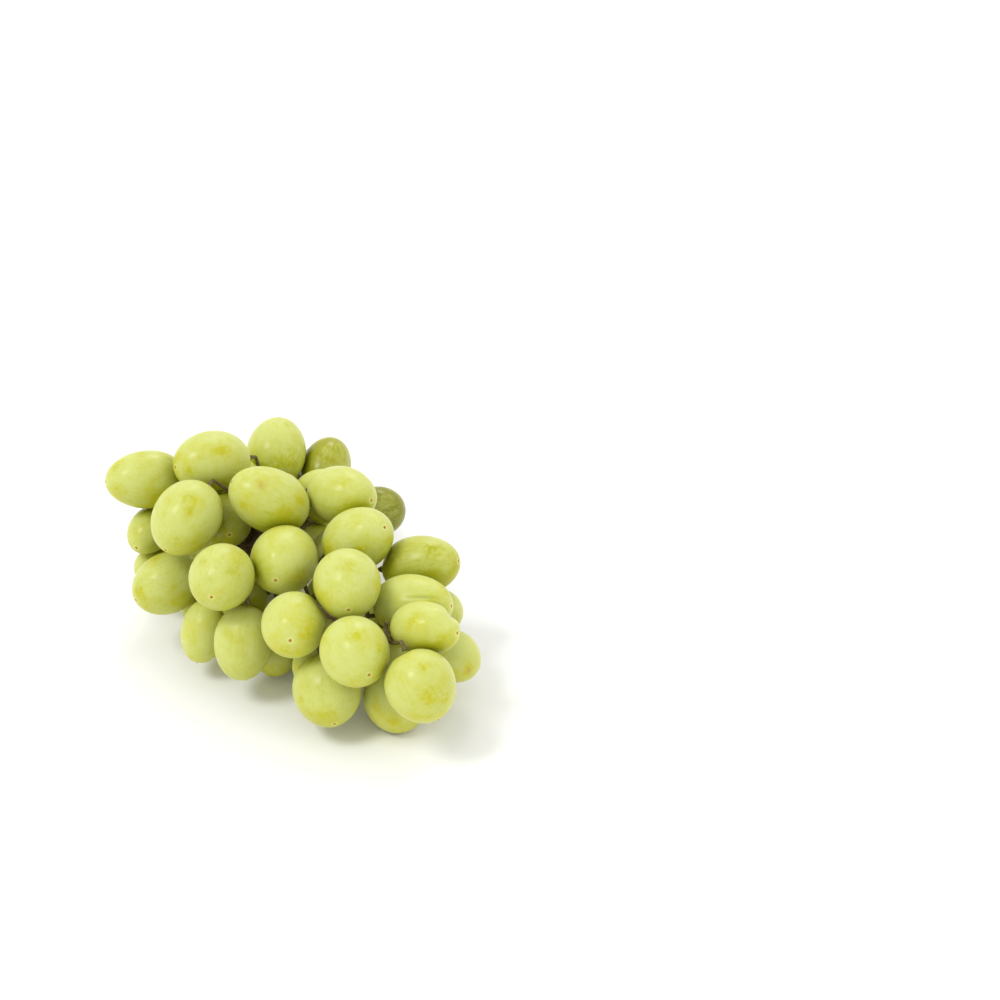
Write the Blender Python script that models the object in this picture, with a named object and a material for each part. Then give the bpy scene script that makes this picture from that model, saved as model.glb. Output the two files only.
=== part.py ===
"""A picked bunch of white table grapes, lying on its side on a flat surface.

The stem (stalk, rachis, branches and pedicels) grew as one piece and is one solid.
Each berry is a solid of its own. The frame has +X across the bunch, +Y away from
its full face, +Z up, and the origin under the middle of the bunch, on the surface.
Lengths are millimetres until a mesh is written, which is in metres.
"""

import heapq
import math

import bmesh
import bpy
import numpy as np
from mathutils import Vector

MM = 0.001

# The bunch
TOUCH_GAP = 0.3        # left between any two solids that touch
PRESS = 0.7            # how far ripe berries press into each other, both flats together
FLOOR_FLAT = 0.45      # how far the lowest berries flatten on the surface

# Settling, with each share taken once a round
SETTLE_ROUNDS = 150
HOME_PULL = 0.06       # of a berry's way back to its own place
SHARE_APART = 0.25     # of an overlap with a neighbour or a pedicel
SHARE_OFF_RACHIS = 0.4
SHARE_UP = 0.5         # of the depth below the surface
RACHIS_ROOM = 0.6      # between a berry and the rachis
PEDICEL_ROOM = 0.9     # between a berry and another's pedicel
FLAT_REACH = 1.0       # neighbours, or a berry and the surface, this close are pressed flat

# A berry: an oval turned about its stalk, a little fuller towards the stalk end
BERRY_SIDES = 12
BERRY_RINGS = 8
FULLNESS = 0.05
FACET = 1.02           # the rings stand out this much, as flat sides lie inside a round one
SKIN_MARGIN = 0.5      # the stem keeps this much further off, for the fullness and facets
FAR_LENGTH = 1.18      # length over girth of a berry on the far side

# The stem
STALK_RADIUS = 2.6
PEDICEL_RADIUS = 0.8
THICKENING = 0.3       # a branch's radius grows as its number of berries to this power
STUB = 3.5             # a pedicel leaves its berry straight for this far
FLARE_RADIUS = 1.7     # the receptacle, where a pedicel meets its berry
FLARE_LENGTH = 1.3
STEM_SIDES = 8
CELL = 1.5             # the stem finds its way between the berries on a grid this fine
GRID_PAD = 6.0
SQUEEZE_ROOM = 1.6     # a way with less room than this round a pedicel is a squeeze
SQUEEZE_COST = 1.2
OUTWARD_SCALE = 16.0   # a way this far from the rachis counts double
OPEN_COST = 2.0        # branches keep to the shade inside the bunch
SMOOTH_ROUNDS = 60
SMOOTH_SHARE = 0.5
CLEAR_MOST = 1.5       # a point moves off a berry by no more than this at once
THINNEST = 0.45        # radius of a pedicel in the tightest squeeze
JOIN_TAPER = 0.9       # a branch starts this much thinner than its next ring
NECK = 1.1             # a pedicel is this much thicker where its receptacle starts
RING_STEP = 3.0
RING_CLOSE = 1.8

# The rachis runs from the cut stalk at the back to the bunch's end at the front.
RACHIS = [
    (3, 92, 37),
    (-2, 78, 36),
    (-6, 62, 36),
    (-12, 44, 36),
    (-15, 26, 34),
    (-11, 8, 32),
    (2, -6, 31),
    (20, -18, 30),
    (38, -31, 29),
]

# The face of the bunch, shoulder by shoulder. A berry is given by its centre
# (across, away, up), the way its tip points (bearing from +X and pitch, in degrees),
# and its girth and length.
FACE = {
    "left_shoulder": [
        (-52, 33, 57, 205, 10, 21.5, 31),
        (-28, 32, 64, 215, 10, 23.5, 29.5),
        (-33, 5, 57, 240, -25, 24, 29),
        (-52, 28, 38, 250, -10, 16, 22),
        (-24, 22, 46, 285, 5, 20.5, 25),
        (-43, 5, 29, 220, -5, 22, 26),
        (-51, 27, 23, 160, -20, 16, 18),
    ],
    "top_shoulder": [
        (-8, 64, 51, 80, 40, 23, 28),
        (10, 68, 43, 75, 25, 19.5, 26),
        (-4, 12, 59, 190, 35, 23, 31),
        (21, 20, 57, 325, 10, 21.5, 28),
        (31, 61, 27, 35, -10, 19.5, 21.5),
        (18, 16, 37, 310, 45, 17.5, 20.5),
    ],
    "front": [
        (28, -1, 52, 325, 35, 22.5, 30),
        (1, -7, 48, 265, 0, 23.5, 27.5),
        (-18, -22, 49, 260, 0, 22.5, 25),
        (26, -30, 51, 275, -10, 23, 26),
        (8, -38, 40, 270, 10, 22, 25.5),
        (-12, -24, 24, 255, -65, 20.5, 27),
        (-28, -9, 18, 250, -50, 17, 23.5),
    ],
    "right_shoulder": [
        (50, -3, 42, 345, 15, 21.5, 29.5),
        (48, -24, 39, 340, 10, 21.5, 29),
        (53, -45, 43, 330, 10, 18.5, 25.5),
        (52, -63, 33, 305, -45, 23.5, 25),
        (30, -53, 40, 295, -5, 23, 25.5),
        (56, -7, 25, 10, -10, 17, 18),
    ],
    "end": [
        (19, -45, 18, 285, -25, 23.5, 26.5),
        (42, -41, 12, 305, -55, 22, 24),
        (62, -25, 18, 350, -40, 18, 20),
        (-3, -12, 11, 270, -85, 16.5, 18.5),
        (13, -26, 14, 270, -85, 16.5, 18),
        (-11, -6, 30, 215, 0, 15.5, 17.5),
    ],
}

# The far side, from the cut stalk forwards: centre and girth. These berries point
# straight away from the rachis and are all of one shape.
FAR_SIDE = [
    (-3, 80, 18, 20),
    (19, 74, 17, 20),
    (-23, 68, 29, 19.5),
    (-36, 53, 33, 22),
    (-23, 54, 16, 20.5),
    (9, 55, 19, 21.5),
    (11, 44, 43, 21),
    (-22, 47, 48, 20),
    (-6, 44, 12, 20.5),
    (-44, 44, 14, 20),
    (-5, 33, 48, 20.5),
    (8, 35, 25, 21.5),
    (-30, 33, 31, 19.5),
    (-23, 33, 12, 20.5),
    (-30, 15, 16, 20.5),
    (17, 12, 19, 19.5),
    (-15, 2, 12, 21),
    (32, -1, 22, 19.5),
    (15, -7, 12, 21.5),
    (40, -15, 11, 21),
]


def main():
    clear_scene()
    berries = settle(all_berries())
    stem = grow_stem(berries)
    shift = bottom_centre(berries, stem)
    berry_skin = material("berry_skin", (0.52, 0.58, 0.13), 0.35)
    stem_bark = material("stem_bark", (0.13, 0.09, 0.04), 0.8)
    for number in range(len(berries["centre"])):
        add_berry(f"berry_{number + 1:02d}", berries, number, shift, berry_skin)
    add_stem("stem", stem, shift, stem_bark)


def clear_scene():
    for obj in list(bpy.data.objects):
        bpy.data.objects.remove(obj)


def material(name, colour, roughness):
    made = bpy.data.materials.new(name)
    made.use_nodes = True
    shader = made.node_tree.nodes["Principled BSDF"]
    shader.inputs["Base Color"].default_value = (*colour, 1)
    shader.inputs["Roughness"].default_value = roughness
    shader.inputs["Metallic"].default_value = 0
    return made


# Placing the berries


def direction(bearing, pitch):
    """The unit vector of a bearing in the XY plane and a pitch above it, in degrees."""
    b, p = math.radians(bearing), math.radians(pitch)
    return np.array([math.cos(b) * math.cos(p), math.sin(b) * math.cos(p), math.sin(p)])


def all_berries():
    face = [row for shoulder in FACE.values() for row in shoulder]
    centre = np.array([row[:3] for row in [*face, *FAR_SIDE]], float)
    away = centre - nearest_on(rachis_line(), centre)
    tip = away / np.linalg.norm(away, axis=1)[:, None]
    tip[: len(face)] = [direction(row[3], row[4]) for row in face]
    girth = np.array([row[5] for row in face] + [row[3] for row in FAR_SIDE])
    length = np.array([row[6] for row in face] + [row[3] * FAR_LENGTH for row in FAR_SIDE])
    return {"centre": centre, "tip": tip, "radius": girth / 2, "half": length / 2}


def reach(berries, which, way):
    """How far a berry reaches along a unit vector: half its surface's distance from
    the centre there, and half its furthest extent that way."""
    along = np.abs((way * berries["tip"][which]).sum(-1))
    radius, half = berries["radius"][which], berries["half"][which]
    surface = 1 / np.sqrt((along / half) ** 2 + (1 - along**2) / radius**2)
    extent = np.sqrt((along * half) ** 2 + (1 - along**2) * radius**2)
    return (surface + extent) / 2


def height_below(berries):
    """How far each berry reaches below its centre."""
    rise = berries["tip"][:, 2]
    return np.sqrt((rise * berries["half"]) ** 2 + (1 - rise**2) * berries["radius"] ** 2)


def rachis_line():
    """Points every millimetre or so along a smooth curve through RACHIS."""
    points = [np.array(p, float) for p in RACHIS]
    points = [2 * points[0] - points[1], *points, 2 * points[-1] - points[-2]]
    line = []
    for a, b, c, d in zip(points, points[1:], points[2:], points[3:]):
        steps = max(2, round(float(np.linalg.norm(c - b))))
        for t in np.arange(steps) / steps:
            line.append(
                0.5 * (2 * b + (c - a) * t + (2 * a - 5 * b + 4 * c - d) * t**2
                       + (3 * b - a - 3 * c + d) * t**3)
            )
    line.append(points[-2])
    return np.array(line)


def nearest_on(line, points):
    """The line's nearest point to each point."""
    apart = np.linalg.norm(points[:, None] - line[None], axis=2)
    return line[apart.argmin(1)]


def settle(berries):
    """Moves the berries apart until they only press lightly on each other, clear of
    the rachis, of each other's pedicels and of the surface below."""
    line = rachis_line()
    home = berries["centre"].copy()
    centre = berries["centre"]
    count = len(centre)
    first, second = np.triu_indices(count, 1)
    below = height_below(berries)
    for _ in range(SETTLE_ROUNDS):
        push = HOME_PULL * (home - centre)
        apart = centre[second] - centre[first]
        distance = np.linalg.norm(apart, axis=1)
        way = apart / distance[:, None]
        room = reach(berries, first, way) + reach(berries, second, way) - PRESS
        move = np.maximum(0, room - distance)[:, None] * way * SHARE_APART
        np.add.at(push, second, move)
        np.add.at(push, first, -move)
        push += off_the_rachis(berries, line)
        push += off_the_pedicels(berries)
        push[:, 2] += np.maximum(0, below - FLOOR_FLAT - centre[:, 2]) * SHARE_UP
        centre = centre + push
        berries = {**berries, "centre": centre}
    centre[:, 2] = np.maximum(centre[:, 2], below - FLOOR_FLAT)
    near_floor = centre[:, 2] < below + FLAT_REACH
    centre[near_floor, 2] = (below - FLOOR_FLAT)[near_floor]
    return {**berries, "centre": np.round(centre, 3)}


def off_the_rachis(berries, line):
    """The push that keeps each berry's skin clear of the rachis."""
    foot = nearest_on(line, berries["centre"])
    apart = berries["centre"] - foot
    distance = np.linalg.norm(apart, axis=1)
    way = apart / distance[:, None]
    room = reach(berries, np.arange(len(way)), way) + STALK_RADIUS + RACHIS_ROOM
    return np.maximum(0, room - distance)[:, None] * way * SHARE_OFF_RACHIS


def off_the_pedicels(berries):
    """The push that keeps the berries off each other's pedicels."""
    centre = berries["centre"]
    stub = centre - berries["tip"] * (berries["half"] + STUB)[:, None]
    apart = centre[None] - stub[:, None]
    distance = np.linalg.norm(apart, axis=2)
    way = apart / distance[..., None]
    room = reach(berries, np.arange(len(centre)), way) + PEDICEL_RADIUS + PEDICEL_ROOM
    push = np.maximum(0, room - distance) * SHARE_APART
    np.fill_diagonal(push, 0)
    return (push[..., None] * way).sum(0) - (push[..., None] * way).sum(1)


# Growing the stem


class Grid:
    """The space in and round the bunch as cells. Each has its distance to the nearest
    berry's skin and to the rachis, and how open it is."""

    def __init__(self, berries):
        self.low = berries["centre"].min(0) - berries["half"].max() - GRID_PAD
        high = berries["centre"].max(0) + berries["half"].max() + GRID_PAD
        self.shape = tuple(np.ceil((high - self.low) / CELL).astype(int))
        cells = np.stack(np.meshgrid(*map(np.arange, self.shape), indexing="ij"), -1)
        self.points = self.low + (cells.reshape(-1, 3) + 0.5) * CELL
        self.clear = skin_distance(berries, self.points).reshape(self.shape)
        line = rachis_line()[::4]
        off = np.full(len(self.points), 1e9)
        for point in line:
            off = np.minimum(off, np.linalg.norm(self.points - point, axis=1))
        self.off_rachis = off.reshape(self.shape)
        self.open = openness(berries, self.points).reshape(self.shape)

    def cell(self, point):
        at = np.floor((point - self.low) / CELL).astype(int)
        return tuple(np.clip(at, 0, np.array(self.shape) - 1))

    def point(self, cell):
        return self.low + (np.array(cell) + 0.5) * CELL


def skin_distance(berries, points):
    """Each point's distance to the nearest berry's skin, negative inside one."""
    nearest = np.full(len(points), 1e9)
    for centre, tip, radius, half in zip(
        berries["centre"], berries["tip"], berries["radius"], berries["half"]
    ):
        apart = points - centre
        along = apart @ tip
        across = np.sqrt(np.maximum((apart**2).sum(1) - along**2, 0))
        scaled = np.sqrt((along / half) ** 2 + (across / radius) ** 2)
        slope = np.sqrt((along / half**2) ** 2 + (across / radius**2) ** 2)
        nearest = np.minimum(nearest, scaled * (scaled - 1) / np.maximum(slope, 1e-9))
    return nearest


def openness(berries, points):
    """The share of the ways out of each point that no berry stands in."""
    ways = [(0, 0, 1), (0, -1, 0), (0, -1, 1), (0, 1, 1), (1, 0, 1), (-1, 0, 1), (1, 0, 0), (-1, 0, 0)]
    free = np.zeros(len(points))
    for way in np.array(ways, float):
        way = way / np.linalg.norm(way)
        shut = np.zeros(len(points), bool)
        for centre, radius in zip(berries["centre"], berries["radius"]):
            apart = centre - points
            along = apart @ way
            beside = (apart**2).sum(1) - along**2
            shut |= (along > 0) & (beside < radius**2)
        free += ~shut
    return free / len(ways)


STEPS = [
    (i, j, k)
    for i in (-1, 0, 1)
    for j in (-1, 0, 1)
    for k in (-1, 0, 1)
    if (i, j, k) != (0, 0, 0)
]


def grow_stem(berries):
    """The stem as a tree: each point's place, its parent and the berries it carries.
    The rachis comes first. Then each berry, the furthest first, looks for the
    easiest way between its neighbours to what has grown already."""
    line = rachis_line()[::3]
    tree = {
        "place": list(line),
        "parent": [-1, *range(len(line) - 1)],
        "fixed": [True] * len(line),
        "berry": [-1] * len(line),
    }
    grid = Grid(berries)
    taken = {}
    for node in range(len(line)):
        claim(taken, grid, tree, node)
    stub = berries["centre"] - berries["tip"] * (berries["half"] + STUB)[:, None]
    off = np.linalg.norm(stub - nearest_on(line, stub), axis=1)
    for number in np.argsort(-off, kind="stable"):
        route, parent = find_way(grid, taken, stub[number])
        for cell in reversed(route):
            parent = add_point(tree, grid.point(cell), parent, False)
            claim(taken, grid, tree, parent)
        parent = add_point(tree, stub[number], parent, True)
        end = berries["half"][number] + TOUCH_GAP
        tip = berries["centre"][number] - berries["tip"][number] * end
        tree["berry"][add_point(tree, tip, parent, True)] = number
    return smooth(tree, berries)


def add_point(tree, place, parent, fixed):
    tree["place"].append(np.array(place, float))
    tree["parent"].append(parent)
    tree["fixed"].append(fixed)
    tree["berry"].append(-1)
    return len(tree["place"]) - 1


def claim(taken, grid, tree, node):
    """Marks the cells round a point as reached, so that later branches join there."""
    at = grid.cell(tree["place"][node])
    for step in [(0, 0, 0), *STEPS]:
        taken.setdefault(tuple(np.add(at, step)), node)


def find_way(grid, taken, start):
    """The cells of the easiest way from start to the stem, and the point it joins.
    A step costs more close to a berry, away from the rachis and out in the open."""
    begin = grid.cell(start)
    cost = {begin: 0.0}
    came = {begin: None}
    heap = [(0.0, begin)]
    while heap:
        spent, cell = heapq.heappop(heap)
        if spent > cost[cell]:
            continue
        if cell in taken:
            route = []
            while cell is not None:
                route.append(cell)
                cell = came[cell]
            return route[::-1][1:-1], taken[route[0]]
        for step in STEPS:
            beside = (cell[0] + step[0], cell[1] + step[1], cell[2] + step[2])
            if min(beside) < 0 or any(b >= s for b, s in zip(beside, grid.shape)):
                continue
            clear = grid.clear[beside]
            squeeze = SQUEEZE_COST * max(0.0, PEDICEL_RADIUS + SQUEEZE_ROOM - clear) ** 3
            outward = (grid.off_rachis[beside] / OUTWARD_SCALE) ** 2
            length = CELL * math.sqrt(step[0] ** 2 + step[1] ** 2 + step[2] ** 2)
            now = spent + length * (1 + squeeze + outward + OPEN_COST * grid.open[beside])
            if now < cost.get(beside, 1e18):
                cost[beside] = now
                came[beside] = cell
                heapq.heappush(heap, (now, beside))
    raise RuntimeError("a berry has no way to the stem")


def smooth(tree, berries):
    """Evens out the branches, keeping them clear of the berries, and gives each
    point its radius from the number of berries beyond it."""
    place = np.array(tree["place"])
    parent = np.array(tree["parent"])
    count = len(place)
    carried = np.zeros(count)
    for node in range(count - 1, -1, -1):
        if tree["berry"][node] >= 0:
            carried[node] += 1
        if parent[node] >= 0:
            carried[parent[node]] += carried[node]
    carried = np.maximum(carried, 1)
    radius = PEDICEL_RADIUS * carried**THICKENING
    free = ~np.array(tree["fixed"])
    child_nodes = np.nonzero(parent >= 0)[0]
    for _ in range(SMOOTH_ROUNDS):
        total = np.zeros_like(place)
        weight = np.zeros(count)
        np.add.at(total, child_nodes, place[parent[child_nodes]])
        np.add.at(weight, child_nodes, 1)
        np.add.at(total, parent[child_nodes], place[child_nodes])
        np.add.at(weight, parent[child_nodes], 1)
        mean = total / weight[:, None]
        place = np.where(free[:, None], place + SMOOTH_SHARE * (mean - place), place)
        place = np.where(free[:, None], pushed_clear(place, radius, berries), place)
    room = skin_distance(berries, place) - TOUCH_GAP - SKIN_MARGIN
    radius = np.clip(np.minimum(radius, room), THINNEST, STALK_RADIUS)
    return {**tree, "place": place, "parent": parent, "radius": radius, "carried": carried}


def pushed_clear(place, radius, berries):
    """The points moved out of any berry that they are too close to."""
    for centre, tip, girth, half in zip(
        berries["centre"], berries["tip"], berries["radius"], berries["half"]
    ):
        apart = place - centre
        along = apart @ tip
        across = apart - along[:, None] * tip
        scaled = np.sqrt((along / half) ** 2 + ((across / girth) ** 2).sum(1))
        slope = along[:, None] * tip / half**2 + across / girth**2
        steep = np.maximum(np.linalg.norm(slope, axis=1), 1e-9)
        gap = scaled * (scaled - 1) / steep
        short = np.clip(radius + TOUCH_GAP + SKIN_MARGIN - gap, 0, CLEAR_MOST)
        place = place + SMOOTH_SHARE * short[:, None] * slope / steep[:, None]
    return place


def branches(stem):
    """The stem as chains of points, each from where it joins to its end."""
    children = [[] for _ in stem["place"]]
    for node, parent in enumerate(stem["parent"]):
        if parent >= 0:
            children[parent].append(node)
    chains, starts = [], [(None, 0)]
    while starts:
        root, node = starts.pop()
        chain = [] if root is None else [root]
        while True:
            chain.append(node)
            beyond = sorted(children[node], key=lambda n: (-stem["carried"][n], n))
            if not beyond:
                break
            starts += [(node, other) for other in beyond[1:]]
            node = beyond[0]
        chains.append(chain)
    return chains


# Making the solids


def bottom_centre(berries, stem):
    """The point on the surface under the middle of everything."""
    low, high = [], []
    for axis in range(3):
        part = berries["tip"][:, axis]
        size = np.sqrt((part * berries["half"]) ** 2 + (1 - part**2) * berries["radius"] ** 2)
        low.append((berries["centre"][:, axis] - size).min())
        high.append((berries["centre"][:, axis] + size).max())
    high[1] = max(high[1], stem["place"][:, 1].max())
    return np.array([(low[0] + high[0]) / 2, (low[1] + high[1]) / 2, 0])


def add_object(name, points, faces, surface):
    mesh = bpy.data.meshes.new(name)
    mesh.from_pydata([Vector(p) * MM for p in points], [], faces)
    mesh.materials.append(surface)
    obj = bpy.data.objects.new(name, mesh)
    bpy.context.scene.collection.objects.link(obj)
    return obj


def oval(berries, number):
    """Points and faces of a berry: rings about its axis from the tip to the stalk end."""
    centre, tip = berries["centre"][number], berries["tip"][number]
    radius, half = berries["radius"][number], berries["half"][number]
    side = np.cross(tip, (0.31, 0.17, 0.93))
    side /= np.linalg.norm(side)
    other = np.cross(tip, side)
    points = [centre + tip * half]
    for ring in range(1, BERRY_RINGS):
        down = math.pi * ring / BERRY_RINGS
        out = radius * FACET * math.sin(down) * (1 - FULLNESS * math.cos(down))
        for step in range(BERRY_SIDES):
            turn = 2 * math.pi * (step + 0.5 * (ring % 2)) / BERRY_SIDES
            away = side * math.cos(turn) + other * math.sin(turn)
            points.append(centre + tip * half * math.cos(down) + away * out)
    points.append(centre - tip * half)
    last = len(points) - 1
    faces = []
    for step in range(BERRY_SIDES):
        after = (step + 1) % BERRY_SIDES
        faces.append((0, 1 + step, 1 + after))
        faces.append((last, last - BERRY_SIDES + after, last - BERRY_SIDES + step))
        for ring in range(BERRY_RINGS - 2):
            a, b = 1 + ring * BERRY_SIDES + step, 1 + ring * BERRY_SIDES + after
            c, d = a + BERRY_SIDES, b + BERRY_SIDES
            faces += [(a, c, d), (a, d, b)] if ring % 2 else [(a, c, b), (b, c, d)]
    return points, faces


def press_planes(berries, number):
    """Where neighbours press on a berry: (a point, the way out) of each flat."""
    centre = berries["centre"]
    planes = []
    for other in range(len(centre)):
        if other == number:
            continue
        apart = centre[other] - centre[number]
        distance = np.linalg.norm(apart)
        way = apart / distance
        mine, theirs = reach(berries, number, way), reach(berries, other, way)
        gap = distance - mine - theirs
        if gap < FLAT_REACH:
            planes.append((centre[number] + way * (mine + gap / 2 - TOUCH_GAP / 2), way))
    return planes


def add_berry(name, berries, number, shift, surface):
    points, faces = oval(berries, number)
    obj = add_object(name, np.array(points) - shift, faces, surface)
    planes = [(p - shift, way) for p, way in press_planes(berries, number)]
    planes.append((np.zeros(3), np.array([0, 0, -1.0])))
    mesh = bmesh.new()
    mesh.from_mesh(obj.data)
    for point, way in planes:
        cut_flat(mesh, Vector(point) * MM, Vector(way))
    bmesh.ops.recalc_face_normals(mesh, faces=mesh.faces)
    bmesh.ops.triangulate(mesh, faces=mesh.faces)
    mesh.to_mesh(obj.data)
    mesh.free()
    obj.data.shade_smooth()
    obj.data.set_sharp_from_angle(angle=math.radians(40))
    return obj


def cut_flat(mesh, point, way):
    """Cuts a closed mesh by a plane and closes it again with one flat face."""
    if max((v.co - point).dot(way) for v in mesh.verts) < 1e-6:
        return
    everything = [*mesh.verts, *mesh.edges, *mesh.faces]
    cut = bmesh.ops.bisect_plane(
        mesh, geom=everything, dist=1e-6, plane_co=point, plane_no=way, clear_outer=True
    )
    edges = [e for e in cut["geom_cut"] if isinstance(e, bmesh.types.BMEdge)]
    bmesh.ops.contextual_create(mesh, geom=edges)
    bmesh.ops.remove_doubles(mesh, verts=mesh.verts, dist=1e-5)


def tube(stem, chain, ends_at_berry):
    """Points and faces of one branch: rings along it, closed at both ends."""
    place = stem["place"][chain]
    radius = stem["radius"][chain].copy()
    if stem["parent"][chain[1]] == chain[0] and chain[0] != 0:
        radius[0] = min(radius[0], radius[1]) * JOIN_TAPER
    if ends_at_berry:
        way = place[-1] - place[-2]
        way /= np.linalg.norm(way)
        neck = place[-1] - way * FLARE_LENGTH
        place = np.vstack([place[:-1], neck, place[-1]])
        radius = np.append(radius[:-1], [PEDICEL_RADIUS * NECK, FLARE_RADIUS])
    steps = np.diff(place, axis=0)
    steps /= np.linalg.norm(steps, axis=1)[:, None]
    along = np.vstack([steps[:1], steps[:-1] + steps[1:], steps[-1:]])
    along /= np.linalg.norm(along, axis=1)[:, None]
    side = np.cross(along[0], (0.2, 0.3, 0.9))
    points = []
    for centre, way, out in zip(place, along, radius):
        side = side - way * (side @ way)
        side /= np.linalg.norm(side)
        other = np.cross(way, side)
        for step in range(STEM_SIDES):
            turn = 2 * math.pi * step / STEM_SIDES
            points.append(centre + out * (side * math.cos(turn) + other * math.sin(turn)))
    faces = [tuple(reversed(range(STEM_SIDES)))]
    for ring in range(len(place) - 1):
        for step in range(STEM_SIDES):
            after = (step + 1) % STEM_SIDES
            a, b = ring * STEM_SIDES + step, ring * STEM_SIDES + after
            faces.append((a, b, b + STEM_SIDES, a + STEM_SIDES))
    faces.append(tuple(range(len(points) - STEM_SIDES, len(points))))
    return points, faces


def thinned(stem, chain, joins):
    """The chain with fewer points: its ends, its joins, the straight part of its
    pedicel and one every RING_STEP, none of them close together."""
    place = stem["place"]
    kept = [chain[0]]
    for node in chain[1:]:
        needed = node in joins or node in chain[-2:]
        while needed and len(kept) > 1 and kept[-1] not in joins:
            if np.linalg.norm(place[node] - place[kept[-1]]) > RING_CLOSE:
                break
            kept.pop()
        gap = np.linalg.norm(place[node] - place[kept[-1]])
        if gap >= RING_STEP or needed and gap > RING_CLOSE / 2 or node == chain[-1]:
            kept.append(node)
    return kept


def add_stem(name, stem, shift, surface):
    """The rachis, with every branch joined to it by a Boolean union."""
    chains = branches(stem)
    joins = {chain[0] for chain in chains}
    cutters = bpy.data.collections.new("branches")
    bpy.context.scene.collection.children.link(cutters)
    whole = None
    for chain in chains:
        points, faces = tube(stem, thinned(stem, chain, joins), stem["berry"][chain[-1]] >= 0)
        obj = add_object(f"branch_{len(cutters.objects)}", np.array(points) - shift, faces, surface)
        if whole is None:
            whole = obj
            whole.name = name
            continue
        bpy.context.scene.collection.objects.unlink(obj)
        cutters.objects.link(obj)
        obj.hide_render = True
        obj.display_type = "WIRE"
    union = whole.modifiers.new("branches", "BOOLEAN")
    union.operation = "UNION"
    union.operand_type = "COLLECTION"
    union.collection = cutters
    union.solver = "EXACT"
    whole.data.shade_smooth()
    return whole


main()
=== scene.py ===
"""A picked bunch of white table grapes, lying on its side: fifty-two berries and the stem
that carries them, built as surfaces round the solid model.

Lengths inside the functions are millimetres, and the settings are metres.
"""

import math

import bmesh
import bpy
import numpy as np
from bpy.props import FloatProperty, FloatVectorProperty, IntProperty, PointerProperty
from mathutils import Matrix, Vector


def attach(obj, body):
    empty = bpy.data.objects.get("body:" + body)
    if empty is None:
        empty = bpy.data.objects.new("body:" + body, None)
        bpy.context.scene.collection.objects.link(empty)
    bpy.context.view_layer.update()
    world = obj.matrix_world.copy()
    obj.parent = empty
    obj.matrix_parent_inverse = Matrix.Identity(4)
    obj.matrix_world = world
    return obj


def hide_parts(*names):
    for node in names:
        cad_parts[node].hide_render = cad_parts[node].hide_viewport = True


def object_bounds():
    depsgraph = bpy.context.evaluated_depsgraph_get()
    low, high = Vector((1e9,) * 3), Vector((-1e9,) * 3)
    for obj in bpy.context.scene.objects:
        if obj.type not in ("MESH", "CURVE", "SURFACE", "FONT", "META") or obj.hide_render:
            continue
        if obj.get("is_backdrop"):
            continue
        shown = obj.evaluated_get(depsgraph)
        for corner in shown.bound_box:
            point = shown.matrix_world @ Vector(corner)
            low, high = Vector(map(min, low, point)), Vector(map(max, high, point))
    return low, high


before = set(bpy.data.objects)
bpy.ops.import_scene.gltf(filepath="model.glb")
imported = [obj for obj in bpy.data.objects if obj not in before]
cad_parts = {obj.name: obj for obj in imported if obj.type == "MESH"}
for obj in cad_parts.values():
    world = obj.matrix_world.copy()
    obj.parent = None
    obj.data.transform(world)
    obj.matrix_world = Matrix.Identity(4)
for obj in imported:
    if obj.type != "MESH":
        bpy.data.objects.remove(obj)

bl_info = {
    "name": "Bunch of grapes",
    "version": (1, 0, 0),
    "blender": (4, 5, 0),
    "location": "3D View > Sidebar > Grapes",
    "description": "Makes a picked bunch of white table grapes, berry by berry",
    "category": "Add Mesh",
}

MM = 0.001
CAD_LOW, CAD_HIGH = (tuple(corner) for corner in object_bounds())
BERRIES = sorted(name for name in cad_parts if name.startswith("berry_"))

# A berry's shape
FACET = 1.017          # the solid's corners stand out this much from the round berry
FULLNESS = 0.05        # fuller towards the stalk end by this part of the girth
UNEVEN = 0.006         # how far a berry is from a true oval, as a part of its radius
UNEVEN_LENGTH = 2.2    # from one high place to the next, in radii
TIP_PIT = (0.16, 1.7)  # depth and radius of the hollow round the flower's scar
NUB = (0.20, 0.85)     # height of the scar's nub, and its radius as a part of the scar's
STALK_PIT = (0.55, 2.3)  # depth and radius of the pit round the stalk
POLE_DENSITY = 0.86    # how much closer together the rings are at both ends
ARC_STEPS = 721        # angles at which the length along the skin is summed
AXIS_START = (0.31, 0.17, 0.93)  # points round a berry are counted from near here
END_CORNERS = 8        # this many of the stem's corners tell a berry's stalk end

# Where berries touch
NEIGHBOUR = 40.0       # berries whose centres are further apart can't touch
PRESS_FROM = 0.8       # neighbours closer than this leave a flat
TOUCH_GAP = 0.04       # left between two flats that press on each other
RUB_AND_SHADE_REACH = 2.4        # how far round a flat the bloom is rubbed and the painted shade near the contact reaches
FLOOR_SOFTNESS = 0.12  # how gently the flat on the surface below runs out
BOX_SOFTNESS = 0.03    # how gently a berry is kept inside the solid model's box

# What chance gives each berry
SHAPE_SEED = 100       # added to the berry's number for its unevenness
SKIN_SEED = 500        # and for its skin
PATTERN_SHIFT = 400.0  # a berry's patterns start up to this far from the others'
WORN_PLACES = 2        # bare places on a berry that has none in the table
WORN_SIZE = (1.5, 4)   # their least and greatest radius
WORN_PITCH = 60        # they are within this pitch, in degrees
MOST_GREEN = 0.15      # how much greener than the others it may be by chance
MOST_RIPE = 0.25       # how much riper
SHADED_UNDERSIDE = 0.35       # skin that faces up by less than this gets painted shade: its bloom is thinned
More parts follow.
